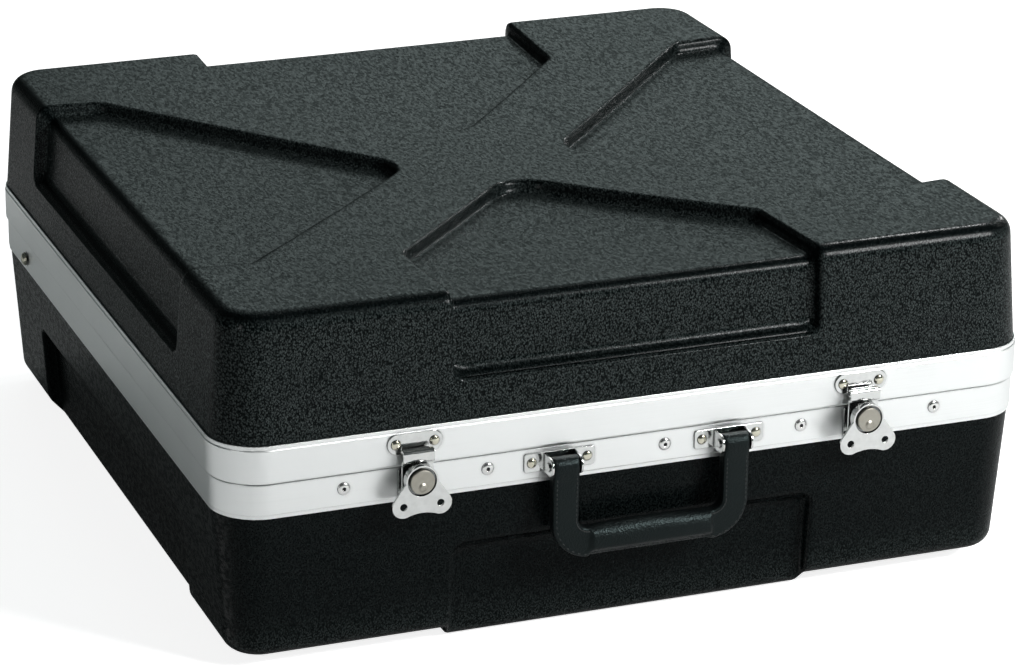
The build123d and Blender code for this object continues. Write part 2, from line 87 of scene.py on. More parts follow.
class Finish:
    """A material under construction: adds nodes and feeds the shader's sockets."""

    def __init__(self, name, **sockets):
        self.material = bpy.data.materials.new(name)
        self.material.use_nodes = True
        self.tree = self.material.node_tree
        self.shader = self.tree.nodes["Principled BSDF"]
        self.feed(**sockets)

    def add(self, kind, settings=None, inputs=None, output=0):
        node = self.tree.nodes.new(kind)
        for key, setting in (settings or {}).items():
            setattr(node, key, setting)
        for key, source in (inputs or {}).items():
            if isinstance(source, Value):
                self.tree.links.new(source.socket, node.inputs[key])
            else:
                node.inputs[key].default_value = source
        return Value(self, node.outputs[output])

    def feed(self, **sockets):
        for key, source in sockets.items():
            socket = self.shader.inputs[key.replace("_", " ")]
            if isinstance(source, Value):
                self.tree.links.new(source.socket, socket)
            else:
                socket.default_value = source

    def axes(self, vector, names):
        """Parts of a vector along the named axes."""
        return [self.add("ShaderNodeSeparateXYZ", {}, {"Vector": vector}, name) for name in names]

    def place(self, scale):
        """Object coordinates in metres, stretched by scale."""
        where = self.add("ShaderNodeTexCoord", output="Object")
        return self.add("ShaderNodeMapping", {}, {"Vector": where, "Scale": scale})

    def noise(self, scale, detail=2.0, roughness=0.5, stretch=(1, 1, 1)):
        return self.add("ShaderNodeTexNoise", {}, {"Vector": self.place(stretch), "Scale": scale,
                                                   "Detail": detail, "Roughness": roughness})

    def pebbles(self, scale, smooth, stretch=(1, 1, 1)):
        """Distance to the nearest of many scattered points, smoothed."""
        return self.add("ShaderNodeTexVoronoi", {"feature": "SMOOTH_F1"},
                        {"Vector": self.place(stretch), "Scale": scale, "Smoothness": smooth})

    def painted_gap_shade(self, distance):
        """Painted shade: 1 on open surfaces, falling towards 0 in gaps and beside parts closer than distance."""
        open_share = self.add("ShaderNodeAmbientOcclusion", {"samples": 6}, {"Distance": distance}, "AO")
        nearly_closed, nearly_open = 0.4, 0.97
        return open_share.band(nearly_closed, nearly_open)

    def blend(self, share, low, high):
        """Colour between low and high by share."""
        colour_a, colour_b, colour_out = 6, 7, 2  # a Mix node's sockets for colours, which share their names
        mix = self.tree.nodes.new("ShaderNodeMix")
        mix.data_type = "RGBA"
        self.tree.links.new(share.socket, mix.inputs["Factor"])
        mix.inputs[colour_a].default_value = (*low, 1)
        mix.inputs[colour_b].default_value = (*high, 1)
        return Value(self, mix.outputs[colour_out])

    def bump(self, height, distance, strength):
        return self.add("ShaderNodeBump", {}, {"Height": height, "Distance": distance, "Strength": strength})


def grained_abs():
    """Black moulding with a fine pebble grain, washed out where the sheet was stretched furthest.

    The grain rises between small pebbles and has finer noise on it. Its tops are shinier, and a painted glint makes
    them paler.
    A clear sheen lies over it in coarser specks: on what faces up, and on walls facing left where
    the sheet is thin.
    """
    finish = Finish("grained_abs", Specular_IOR_Level=0.02, Specular_Tint=(0.72, 1.0, 1.0, 1), Coat_Roughness=0.2)
    drawn = (1, 0.5, 0.7)
    stretch = finish.add("ShaderNodeAttribute", {"attribute_name": "stretch"}, output="Fac")
    pebble = finish.pebbles(1000, 0.2, drawn)
    fine = finish.noise(1250, 2.0, 0.7, drawn)
    rise = (1 - pebble * 1.25) * 0.45 + fine * 0.8
    # paler grain tops in the colour are a painted glint, left out where the sheet is stretched
    painted_glint = rise.band(0.42, 0.92) * (1 - stretch)
    cloud = finish.noise(7, 3.0)
    upward, leftward = finish.axes(finish.add("ShaderNodeTexCoord", output="Normal"), "ZX")
    upward, leftward = upward.band(0.7, 0.95), (leftward * -1).band(0.7, 0.95)
    specks = finish.noise(480, 1.5, 0.6, (1, 0.42, 0.8)).band(0.40, 0.62)
    sheen_on_top = (upward * specks * 0.45 + painted_glint * 0.22) * (1 - stretch)
    sheen_on_left = leftward * stretch * (1 - stretch) * specks * 1.8
    # the paler colour on the grain's tops is a painted glint
    finish.feed(Base_Color=finish.blend(painted_glint, (0.0004, 0.0012, 0.0013), (0.040, 0.050, 0.049)),
                Coat_Weight=sheen_on_top + 0.09 + sheen_on_left,
                Roughness=0.26 + cloud * 0.08 - painted_glint * 0.08 - stretch ** 4 * 0.12,
                Normal=finish.bump(rise * (stretch * 0.6 + 0.4), 0.0006, 1.0))
    return finish.material


def smooth_abs():
    """Unworked inner side of the moulding."""
    finish = Finish("smooth_abs", Specular_IOR_Level=0.3)
    finish.feed(Base_Color=finish.blend(finish.noise(14), (0.010, 0.011, 0.011), (0.016, 0.017, 0.017)),
                Roughness=0.36 + finish.noise(60) * 0.12,
                Normal=finish.bump(finish.noise(220, 3.0), 0.0002, 0.3))
    return finish.material


def drawn_aluminium():
    """Satin extrusion: fine lines along its length; painted shade darkens its colour in gaps."""
    finish = Finish("drawn_aluminium", Metallic=1.0)
    lines = finish.noise(1.0, 3.0, 0.6, stretch=(3, 3, 1500))
    cloud = finish.noise(18, 2.0)
    # lines and tone, times painted shade in gaps and beside other parts
    tone_and_painted_shade = (lines * 0.1 + cloud * 0.1 + 0.9) * finish.painted_gap_shade(0.0025)
    finish.feed(Base_Color=finish.blend(tone_and_painted_shade, (0.05, 0.055, 0.055), (0.93, 0.945, 0.94)),
                Roughness=0.32 + lines * 0.12,
                Normal=finish.bump(lines, 0.00004, 0.35))
    return finish.material


def plated(name, low, high, roughness):
    """Bright plated steel with a faint ripple; painted shade darkens its colour in gaps."""
    finish = Finish(name, Metallic=1.0)
    ripple = finish.noise(240, 3.0)
    # ripple tone, times painted shade in gaps and beside other parts
    tone_and_painted_shade = (ripple * 0.3 + 0.7) * finish.painted_gap_shade(0.0018)
    finish.feed(Base_Color=finish.blend(tone_and_painted_shade, low, high), Roughness=roughness + ripple * 0.08,
                Normal=finish.bump(ripple, 0.0002, 0.4))
    return finish.material


def leathercloth():
    """Black vinyl with a soft crease grain."""
    finish = Finish("leathercloth", Specular_IOR_Level=0.2, Specular_Tint=(0.75, 1.0, 1.0, 1))
    grain = finish.pebbles(950, 0.3) * 0.7 + finish.noise(520, 3.0) * 0.4
    finish.feed(Base_Color=finish.blend(grain, (0.0008, 0.0012, 0.0013), (0.0034, 0.0042, 0.0044)),
                Roughness=0.24 + finish.noise(45) * 0.36,
                Normal=finish.bump(grain, 0.0005, 0.6))
    return finish.material


def thread():
    """Dull sewing thread."""
    finish = Finish("thread", Specular_IOR_Level=0.3)
    twist = finish.noise(2200, 2.0)
    finish.feed(Base_Color=finish.blend(twist, (0.014, 0.016, 0.016), (0.05, 0.055, 0.055)),
                Roughness=0.6 + twist * 0.2)
    return finish.material


def black_paint():
    """Semi-gloss paint with a faint orange peel."""
    finish = Finish("black_paint", Specular_IOR_Level=0.4)
    orange_peel = finish.noise(420, 2.0)
    finish.feed(Base_Color=finish.blend(finish.noise(30), (0.012, 0.012, 0.012), (0.02, 0.02, 0.02)),
                Roughness=0.38 + orange_peel * 0.1, Normal=finish.bump(orange_peel, 0.0001, 0.4))
    return finish.material


ABS, ABS_INSIDE, ALUMINIUM = grained_abs(), smooth_abs(), drawn_aluminium()
NICKEL = plated("nickel", (0.04, 0.045, 0.045), (0.83, 0.84, 0.83), 0.08)
CAM_NICKEL = plated("warm_nickel", (0.05, 0.048, 0.04), (0.46, 0.44, 0.385), 0.38)
BRASS = plated("yellow_plating", (0.06, 0.055, 0.03), (0.80, 0.77, 0.64), 0.16)
RIVET = plated("rivet_metal", (0.08, 0.08, 0.08), (0.92, 0.92, 0.91), 0.2)
VINYL, THREAD, PAINT = leathercloth(), thread(), black_paint()
# near-black metal for the mandrel's hole: painted shade
PAINTED_HOLE_SHADE = plated("painted_hole_shade", (0.02, 0.02, 0.02), (0.05, 0.05, 0.05), 0.5)


# ---------------------------------------------------------------- mesh helpers

def piece(name, points, faces, body, materials, replaces=(), face_material=None, stretch=None):
    """Makes one mesh from an array of points in millimetres and arrays of faces of equal corners."""
    mesh = bpy.data.meshes.new(name)
    points = np.asarray(points, float)
    mesh.vertices.add(len(points))
    mesh.vertices.foreach_set("co", (points * MM).astype(np.float32).ravel())
    corners = np.concatenate([np.asarray(group).ravel() for group in faces]).astype(np.int32)
    sizes = np.concatenate([np.full(len(group), np.asarray(group).shape[1]) for group in faces])
    mesh.loops.add(len(corners))
    mesh.loops.foreach_set("vertex_index", corners)
    mesh.polygons.add(len(sizes))
    mesh.polygons.foreach_set("loop_start", np.concatenate([[0], np.cumsum(sizes)[:-1]]).astype(np.int32))
    mesh.polygons.foreach_set("use_smooth", np.ones(len(sizes), bool))
    for material in materials:
        mesh.materials.append(material)
    if face_material is not None:
        mesh.polygons.foreach_set("material_index", face_material.astype(np.int32))
    if stretch is not None:
        mesh.attributes.new("stretch", "FLOAT", "POINT").data.foreach_set("value", stretch.astype(np.float32))
    mesh.update(calc_edges=True)
    mesh.validate()
    thing = bpy.data.objects.new(name, mesh)
    bpy.context.scene.collection.objects.link(thing)
    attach(thing, body)
    if replaces:
        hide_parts(*replaces)
    return thing


def quads(rows, columns, wrap_rows=False, wrap_columns=False):
    """Faces of a grid of rows by columns, wound so that row x column points out."""
    index = np.arange(rows * columns).reshape(rows, columns)
    if wrap_rows:
        index = np.vstack([index, index[:1]])
    if wrap_columns:
        index = np.hstack([index, index[:, :1]])
    return np.stack([index[:-1, :-1], index[1:, :-1], index[1:, 1:], index[:-1, 1:]], -1).reshape(-1, 4)


def closed(thing, gap=0.005):
    """Welds the seams and poles of a closed shape and turns its faces outward."""
    work = bmesh.new()
    work.from_mesh(thing.data)
    bmesh.ops.remove_doubles(work, verts=work.verts, dist=gap * MM)
    bmesh.ops.recalc_face_normals(work, faces=work.faces)
    work.to_mesh(thing.data)
    work.free()
    return thing


def together(shapes):
    """Several shapes, each points and groups of faces, as one list of points and groups."""
    points, groups, count = [], [], 0
    for shape_points, shape_groups in shapes:
        points.append(shape_points)
        groups += [np.asarray(group) + count for group in shape_groups]
        count += len(shape_points)
    return np.concatenate(points), groups


def prism(outline, low, high, edge, steps=3):
    """Solid over a closed outline from low to high, its two rims rounded by a quarter circle.

    Points are (u, v, height). Each ring is the outline moved inward along its normals.
    """
    outline = np.asarray(outline, float)
    along = np.roll(outline, -1, 0) - np.roll(outline, 1, 0)
    inward = np.stack([-along[:, 1], along[:, 0]], 1) / np.linalg.norm(along, axis=1)[:, None]
    area = (outline[:, 0] * np.roll(outline[:, 1], -1) - outline[:, 1] * np.roll(outline[:, 0], -1)).sum()
    inward = inward * np.sign(area)
    turn = np.linspace(0, pi / 2, steps + 1)
    inset = np.concatenate([edge * (1 - np.sin(turn)), edge * (1 - np.cos(turn))])
    level = np.concatenate([low + edge * (1 - np.cos(turn)), high - edge * (1 - np.sin(turn))])
    rings = outline[None] + inset[:, None, None] * inward[None]
    points = np.concatenate([rings, np.broadcast_to(level[:, None, None], rings.shape[:2] + (1,))], -1)
    count = len(outline)
    caps = [np.arange(count)[None, ::-1], np.arange(count)[None] + count * (len(level) - 1)]
    return points.reshape(-1, 3), [quads(len(level), count, False, True)] + caps


AROUND = 28  # sides of a turned shape


def turned(profile):
    """Profile of (radius, height) points turned about the height axis."""
    profile = np.asarray(profile, float)
    angle = np.linspace(0, 2 * pi, AROUND + 1)[:-1]
    x, y = profile[:, :1] * np.cos(angle), profile[:, :1] * np.sin(angle)
    points = np.stack([x, y, np.broadcast_to(profile[:, 1:], x.shape)], -1)
    return points.reshape(-1, 3), [quads(len(profile), AROUND, False, True)]


def placed(shape, middle, outward):
    """Stands a shape made over (u, v, height) on a wall, with its height along outward."""
    points, groups = shape
    outward = np.asarray(outward, float)
    up = np.array((0.0, 0.0, 1.0))
    beside = np.cross(up, outward)
    return points[:, :1] * beside + points[:, 1:2] * up + points[:, 2:] * outward + np.asarray(middle, float), groups


def weighted(thing):
    """Shading normals that keep the flats flat beside narrow rounds."""
    thing.modifiers.new("flats", "WEIGHTED_NORMAL").keep_sharp = True
    return thing


def rounded_section(corners, radii, steps=3):
    """Closed section whose corners are cut back by their radius and rounded by a quadratic curve."""
    corners, radii = np.asarray(corners, float), np.broadcast_to(np.asarray(radii, float), len(corners))
    back, ahead = np.roll(corners, 1, 0) - corners, np.roll(corners, -1, 0) - corners
    reach_back, reach_ahead = np.linalg.norm(back, axis=1), np.linalg.norm(ahead, axis=1)
    cut_back, cut_ahead = np.minimum(radii, 0.45 * reach_back), np.minimum(radii, 0.45 * reach_ahead)
    start = corners + back * (cut_back / reach_back)[:, None]
    end = corners + ahead * (cut_ahead / reach_ahead)[:, None]
    share = np.linspace(0, 1, steps + 1)[None, :, None]
    curve = (1 - share) ** 2 * start[:, None] + 2 * share * (1 - share) * corners[:, None] + share ** 2 * end[:, None]
    return curve.reshape(-1, 2)


def finished(node, body, material, edge=0.25):
    """Copy of a CAD part's mesh, welded and with its sharp edges broken by a small round."""
    weld, flat, sharp = 2e-6, radians(1), radians(32)
    mesh = nodes[node].data.copy()
    work = bmesh.new()
    work.from_mesh(mesh)
    bmesh.ops.remove_doubles(work, verts=work.verts, dist=weld)
    bmesh.ops.dissolve_limit(work, angle_limit=flat, verts=work.verts, edges=work.edges)
    work.to_mesh(mesh)
    work.free()
    mesh.materials.clear()
    mesh.materials.append(material)
    mesh.polygons.foreach_set("use_smooth", np.ones(len(mesh.polygons), bool))
    thing = bpy.data.objects.new(f"finished_{node}", mesh)
    bpy.context.scene.collection.objects.link(thing)
    bevel = thing.modifiers.new("edges", "BEVEL")
    bevel.width, bevel.segments, bevel.limit_method, bevel.angle_limit = edge * MM, 2, "ANGLE", sharp
    weighted(thing)
    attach(thing, body)
    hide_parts(node)
    return thing


# ---------------------------------------------------------------- moulded shells

def smoothstep(value, low, high):
    share = np.clip((value - low) / (high - low), 0, 1)
    return share * share * (3 - 2 * share)


def step_rise(distance, band):
    """Rise of a panel's step: straight and steep in its middle, with a tight round at its foot and top."""
    share = np.clip(distance / band + 0.5, 0, 1)
    curve = 0.3
    rise = np.where(share < curve, share ** 2 / (2 * curve), share - curve / 2)
    rise = np.where(share > 1 - curve, 1 - curve - (1 - share) ** 2 / (2 * curve), rise)
    return rise / (1 - curve)


def rounded_outline(corners, radii, steps=10):
    """Closed outline with true arcs at its corners, as an array of points."""
    corners = np.asarray(corners, float)
    out = []
    for n, (corner, radius) in enumerate(zip(corners, radii)):
        back, ahead = corners[n - 1] - corner, corners[(n + 1) % len(corners)] - corner
        back, ahead = back / np.linalg.norm(back), ahead / np.linalg.norm(ahead)
        half = np.arccos(np.clip(back @ ahead, -1, 1)) / 2
        middle = corner + (back + ahead) / np.linalg.norm(back + ahead) * radius / np.sin(half)
        first = corner + back * radius / np.tan(half) - middle
        turn = (pi - 2 * half) * np.sign(back[0] * ahead[1] - back[1] * ahead[0]) * -1
        angles = np.linspace(0, turn, steps + 1)
        out.append(middle + np.stack([first[0] * np.cos(angles) - first[1] * np.sin(angles),
                                      first[0] * np.sin(angles) + first[1] * np.cos(angles)], 1))
    return np.concatenate(out)


def outline_distance(points, outline):
    """Signed distance to a closed outline, negative inside, and the direction of its growth."""
    start, along = outline, np.roll(outline, -1, 0) - outline
    length = (along ** 2).sum(1)
    best = np.full(len(points), np.inf)
    nearest = np.zeros_like(points)
    inside = np.zeros(len(points), bool)
    for a, d, squared in zip(start, along, length):
        if squared < 1e-9:
            continue
        share = np.clip(((points - a) @ d) / squared, 0, 1)
        foot = a + share[:, None] * d
        gap = ((points - foot) ** 2).sum(1)
        closer = gap < best
        best = np.where(closer, gap, best)
        nearest[closer] = foot[closer]
        crosses = (a[1] > points[:, 1]) != (a[1] + d[1] > points[:, 1])
        if abs(d[1]) > 1e-12:
            inside ^= crosses & (points[:, 0] < a[0] + (points[:, 1] - a[1]) / d[1] * d[0])
    distance = np.sqrt(best) * np.where(inside, -1, 1)
    away = (points - nearest) * np.where(inside, -1, 1)[:, None]
    away /= np.maximum(np.linalg.norm(away, axis=1), 1e-9)[:, None]
    return distance, away


class Moulding:
    """One moulded half: a flat face, a rounded edge and drafted walls, with four stepped panels.

    The skin is a square grid laid over the face and folded down the walls. Beyond the core
    rectangle the grid counts path length; the wall's radius and height follow from it, so every
    level of the wall keeps the same corner centres. Two such skins, the block and the panel, are
    blended by a mask that rises over a narrow band round each panel's outline.

    way is 1 for the lid and -1 for the base. Heights are counted from the parting plane: height to
    the flat face, start to the frame's edge and ledge to the panels' foot. grow moves the panels'
    steps outward, and thin is how far the walls' grain is washed out.
    """

    def __init__(self, way, foot_inset, height, start, ledge, panel_rise, dish, grow, thin):
        self.way, self.height, self.start, self.ledge, self.thin = way, height, start, ledge, thin
        self.panel_rise, self.dish, self.grow = panel_rise, dish, grow
        self.core = np.array([HALF_WIDTH - CORNER, HALF_DEPTH - CORNER])
        self.foot = CORNER - foot_inset

    def profile(self, v, inset, rise, edge):
        """Radius beyond the corner centre and height over the parting plane along the path v.

        v from 0 to 1 is the flat, to 2 the rounded edge, to 3 the wall above the ledge, to 4 the
        wall under it and to 5 the upright rim behind the frame.
        """
        foot = self.foot - inset
        middle = foot - (edge + (rise - edge - self.start) * sin(DRAFT)) / cos(DRAFT)
        angle = pi / 2 - (pi / 2 - DRAFT) * np.clip(v - 1, 0, 1)
        radius = middle * np.clip(v, 0, 1) + edge * np.cos(angle)
        level = rise - edge + edge * np.sin(angle)
        bottom = rise - edge + edge * sin(DRAFT)
        wall = np.interp(v, [2, 3, 4, 5], [bottom, self.ledge, self.start, RIM])
        on_wall = v > 2
        level = np.where(on_wall, wall, level)
        return np.where(on_wall, foot - np.maximum(wall - self.start, 0) * tan(DRAFT), radius), level

    def lengths(self):
        """Path length of the block's skin at whole numbers of v."""
        per_station = 100
        fine = np.linspace(0, 5, 5 * per_station + 1)
        radius, level = self.profile(fine, 0, self.height, BLOCK_EDGE)
        return np.concatenate([[0], np.cumsum(np.hypot(np.diff(radius), np.diff(level)))])[::per_station]

    def panels(self, stations):
        """Outlines of the four panels on the unfolded grid.

        Each runs up from the ledge on its wall with its half width, turns on the face and narrows
        to an apex. Turns and apexes are told by how far they lie from the face's middle.
        """
        low, deep = stations[3] + self.core[1], stations[3] + self.core[0]
        front_half, front_turn, front_apex = 120.5, 179, 45.5
        side_half, side_turn, side_apex = 172.5, 217.7, 53.4
        front = [(-front_half, -low), (front_half, -low), (front_half, -front_turn), (0, -front_apex),
                 (-front_half, -front_turn)]
        side = [(deep, -side_half), (deep, side_half), (side_turn, side_half), (side_apex, 0),
                (side_turn, -side_half)]
        radii = (5, 5, 9, 25, 9)  # two ends on the wall, two turns and the apex between them
        front, side = rounded_outline(front, radii), rounded_outline(side, radii)
        return [front, -front, side, -side]

    def skin(self, spacing, rows, inset, shift, band):
        """Grid of points of one skin, moved inward by the inset, with its size and how far it's stretched.

        rows counts the grid's lines from each whole number of v to the next. The panels' steps lie at
        a distance of shift from their outlines and are band wide.
        """
        stations = self.lengths()
        v_rows = np.concatenate([np.linspace(n, n + 1, count + 1)[:-1] for n, count in enumerate(rows)] + [[5.0]])
        beyond = np.interp(v_rows, range(6), stations)
        lines = []
        for core in self.core:
            inner = np.linspace(-core, core, int(2 * core / spacing) + 1)[1:-1]
            lines.append(np.concatenate([-(core + beyond[::-1]), inner, core + beyond]))
        s, t = np.meshgrid(lines[0], lines[1], indexing="ij")
        plane = np.stack([s.ravel(), t.ravel()], 1)
        distances = [outline_distance(plane, outline) for outline in self.panels(stations)]
        pick = np.argmin([distance for distance, _ in distances], 0)
        distance = np.choose(pick, [d for d, _ in distances])
        away = np.choose(pick[:, None], [a for _, a in distances])
        # the grid's points are drawn towards the outlines, where the skin steps
        reach = 12.0
        near = np.abs(distance - shift) < reach
        pull = np.where(near, -0.8 * reach / pi * np.sin(pi * (distance - shift) / reach), 0)
        edge = np.abs(plane) >= (self.core + stations[5] - 0.01)
        plane = np.where(edge, plane, plane + away * pull[:, None])
        distance = distance + pull
        held = np.clip(plane, -self.core, self.core)
        past = plane - held
        reach_past = np.abs(past).max(1)
        v = np.interp(reach_past, stations, range(6))
        small = np.abs(past).min(1)
        swing = np.where(reach_past > 1e-9, small / np.maximum(reach_past, 1e-9), 0) * pi / 4
        upright = np.abs(past[:, 1]) > np.abs(past[:, 0])
        angle = np.where(upright, pi / 2 - swing, swing)
        toward = np.stack([np.cos(angle), np.sin(angle)], 1) * np.where(past < 0, -1, 1)
        # on the walls the ledge under a panel slopes more than the panel's upright steps
        down = np.where(upright, np.abs(away[:, 1]), np.abs(away[:, 0])) * smoothstep(v, 2.3, 2.8)
        mask = 1 - step_rise(distance - shift + 1.85 * down, band * (1 + 0.55 * down))
        block = self.profile(v, inset, self.height - inset, BLOCK_EDGE - inset)
        panel = self.profile(v, inset + PANEL_DEPTH, self.height + self.panel_rise - inset, PANEL_EDGE - inset)
        radius = block[0] + (panel[0] - block[0]) * mask
        level = block[1] + (panel[1] - block[1]) * mask
        place = held + toward * radius[:, None]
        # the face is slightly hollow and runs out level this far inside the overall width and depth
        level_edge = 12
        across = place / (HALF_WIDTH - level_edge, HALF_DEPTH - level_edge)
        hollow = self.dish * np.clip(1 - across ** 2, 0, 1).prod(1)
        level = level - hollow * np.clip(3 - v, 0, 1)
        points = np.column_stack([place[:, 0], place[:, 1] + SHIFT, PARTING + self.way * level])
        # the sheet is stretched smooth round the edges and down the steps, least where a step faces the front
        edges = smoothstep(v, 1.1, 1.4) * (1 - smoothstep(v, 1.5, 1.8))
        steps = 4 * mask * (1 - mask) * (1 - 0.7 * smoothstep(away[:, 1], 0.4, 0.9))
        smooth = np.maximum(np.maximum(edges, steps) * 0.95, self.thin * smoothstep(v, 1.5, 2.5))
        return points, len(lines[0]), len(lines[1]), smooth


def rim_loop(rows, columns):
    """Indices round the outside of a grid, in order."""
    index = np.arange(rows * columns).reshape(rows, columns)
    return np.concatenate([index[:, 0], index[-1, 1:], index[-2::-1, -1], index[0, -2:0:-1]])


def shell(name, moulding, body, rows):
    """Outer and inner skins of a moulding, closed to each other along the rim."""
    outer, n, m, smooth = moulding.skin(spacing=2.5, rows=rows, inset=0.0, shift=moulding.grow, band=3.2)
    fewer_rows = [max(2, count // 2) for count in rows]
    inner, p, q, _ = moulding.skin(spacing=5.5, rows=fewer_rows, inset=WALL, shift=moulding.grow + 2, band=7.0)
    faces_out = quads(n, m)
    faces_in = quads(p, q)[:, ::-1] + len(outer)
    if moulding.way < 0:
        faces_out, faces_in = faces_out[:, ::-1], faces_in[:, ::-1]
    ring_out, ring_in = rim_loop(n, m), rim_loop(p, q) + len(outer)
    points = np.concatenate([outer, inner])
    # the two rims have different counts: each outer edge goes to the nearest inner point
    place_out, place_in = points[ring_out][:, :2], points[ring_in][:, :2]

    def travel(place):
        step = np.linalg.norm(np.roll(place, -1, 0) - place, axis=1)
        return np.concatenate([[0], np.cumsum(step)[:-1]]) / step.sum()
    along_out, along_in = travel(place_out), travel(place_in)
    order = np.round(np.interp(along_out, np.append(along_in, 1), np.arange(len(along_in) + 1))).astype(int)
    order = np.append(order, len(along_in))
    ring_out, ring_in = np.append(ring_out, ring_out[0]), np.append(ring_in, ring_in[0])
    a, b = ring_out[:-1], ring_out[1:]
    c, d = ring_in[order[:-1]], ring_in[order[1:]]
    first = np.stack([a, c, b], 1)
    second = np.stack([b, c, d], 1)[c != d]
    rim = np.concatenate([first, second])
    if moulding.way > 0:
        rim = rim[:, ::-1]
    kinds = np.concatenate([np.zeros(len(faces_out)), np.ones(len(faces_in)), np.ones(len(rim))])
    return weighted(piece(name, points, [faces_out, faces_in, rim], body, [ABS, ABS_INSIDE],
                          [name.replace("moulded_", "") + "_shell"], kinds,
                          np.concatenate([smooth, np.zeros(len(inner))])))


ROWS = (5, 8, 17, 10, 2)
LID = Moulding(way=1, foot_inset=1.5, height=104.7, start=24.5, ledge=50.0, panel_rise=-PANEL_DEPTH,
               dish=10.7, grow=0.0, thin=0.0)
BASE = Moulding(way=-1, foot_inset=3.0, height=119.0, start=23.0, ledge=58.5, panel_rise=PANEL_DEPTH,
                dish=0.0, grow=-0.8, thin=0.78)
shell("moulded_lid", LID, "lid", ROWS)
shell("moulded_base", BASE, "base", ROWS)


# ---------------------------------------------------------------- edge frames

def round_the_case(section, way, turns=20):
    """Carries a section of (inset, rise) points round the case's rounded outline."""
    angles = np.linspace(0, pi / 2, turns + 1)
    angles = np.concatenate([angles + quarter * pi / 2 for quarter in range(4)])
    middle = np.repeat(np.array([(1, 1), (-1, 1), (-1, -1), (1, -1)]), turns + 1, 0)
    middle = middle * (HALF_WIDTH - CORNER, HALF_DEPTH - CORNER)
    radius = CORNER - section[:, 0]
    x = middle[:, 0, None] + np.cos(angles)[:, None] * radius
    y = middle[:, 1, None] + np.sin(angles)[:, None] * radius + SHIFT
    z = np.broadcast_to(PARTING + way * section[:, 1], x.shape)
    return np.stack([x, y, z], -1).reshape(-1, 3), quads(len(angles), len(section), True, True)


def edge_frame(name, section, front_round, way, body):
    """Extruded frame: its outer corner at the parting has its own round, the others a small one."""
    section = rounded_section(section, [front_round] + [0.3] * (len(section) - 1))
    points, faces = round_the_case(section, way)
    if way < 0:
        faces = faces[:, ::-1]
    return weighted(piece(f"extruded_{name}", points, [faces], body, [ALUMINIUM], [name]))


LID_SECTION = [(0, 0), (0, 21.5), (0.5, 21.9), (0.5, 24.5), (1.5, 24.5), (1.5, 4), (5.7, 4), (5.7, 12), (7.2, 12),
               (7.2, 0), (6.7, 0), (6.7, 2.8), (3.3, 2.8), (3.3, 0)]
BASE_SECTION = [(1.5, 0), (1.5, 20), (2.0, 20.4), (2.0, 23), (3.0, 23), (3.0, 4), (7.2, 4), (7.2, 12), (8.7, 12),
                (8.7, 0), (6.3, 0), (6.3, -2.4), (3.7, -2.4), (3.7, 0)]
edge_frame("lid_frame", LID_SECTION, front_round=2.0, way=1, body="lid")
edge_frame("base_frame", BASE_SECTION, front_round=1.6, way=-1, body="base")


# ---------------------------------------------------------------- handle

FRAME_FACE = SHIFT - HALF_DEPTH + 1.5  # the base frame's front face
PIN_DOWN, PIN_OUT = 10.0, 9.5  # from the parting plane and from the frame's face
PIN_Z = PARTING - PIN_DOWN
PIN_Y = FRAME_FACE - PIN_OUT
LEG_X, REACH, BEND = 56.5, 52.0, 16.0
LEG_HALF, BAR_HALF = 8.5, 9.5
LEG_DEPTH, GRIP_DEPTH, LOOP = 4.5, 8.0, 6.0
LEG_THINS = 13  # length over which a leg thins from its loop
GRIP_END = 41.5


def strap_path(length_along):
    """Middle line of the strap in its own plane: down a leg, round a quarter turn, along the bar."""
    leg, turn = REACH - BEND, BEND * pi / 2
    bar = 2 * (LEG_X - BEND)
    total = 2 * (leg + turn) + bar
    u = np.where(length_along > total / 2, total - length_along, length_along)
    mirrored = np.where(length_along > total / 2, -1, 1)
    angle = np.clip((u - leg) / BEND, 0, pi / 2)
    x = -LEG_X + BEND * (1 - np.cos(angle)) + np.maximum(u - leg - turn, 0)
    z = -np.minimum(u, leg) - BEND * np.sin(angle)
    return x * mirrored, z, angle, mirrored, total


def strap_swell(x):
    """How far the padded grip has swollen, from 0 on the strap to 1 in the grip, with two soft lobes."""
    along = np.abs(x) / GRIP_END
    return (1 - smoothstep(along, 0.94, 1.0)) * (0.95 - 0.05 * np.cos(along * 2 * pi))


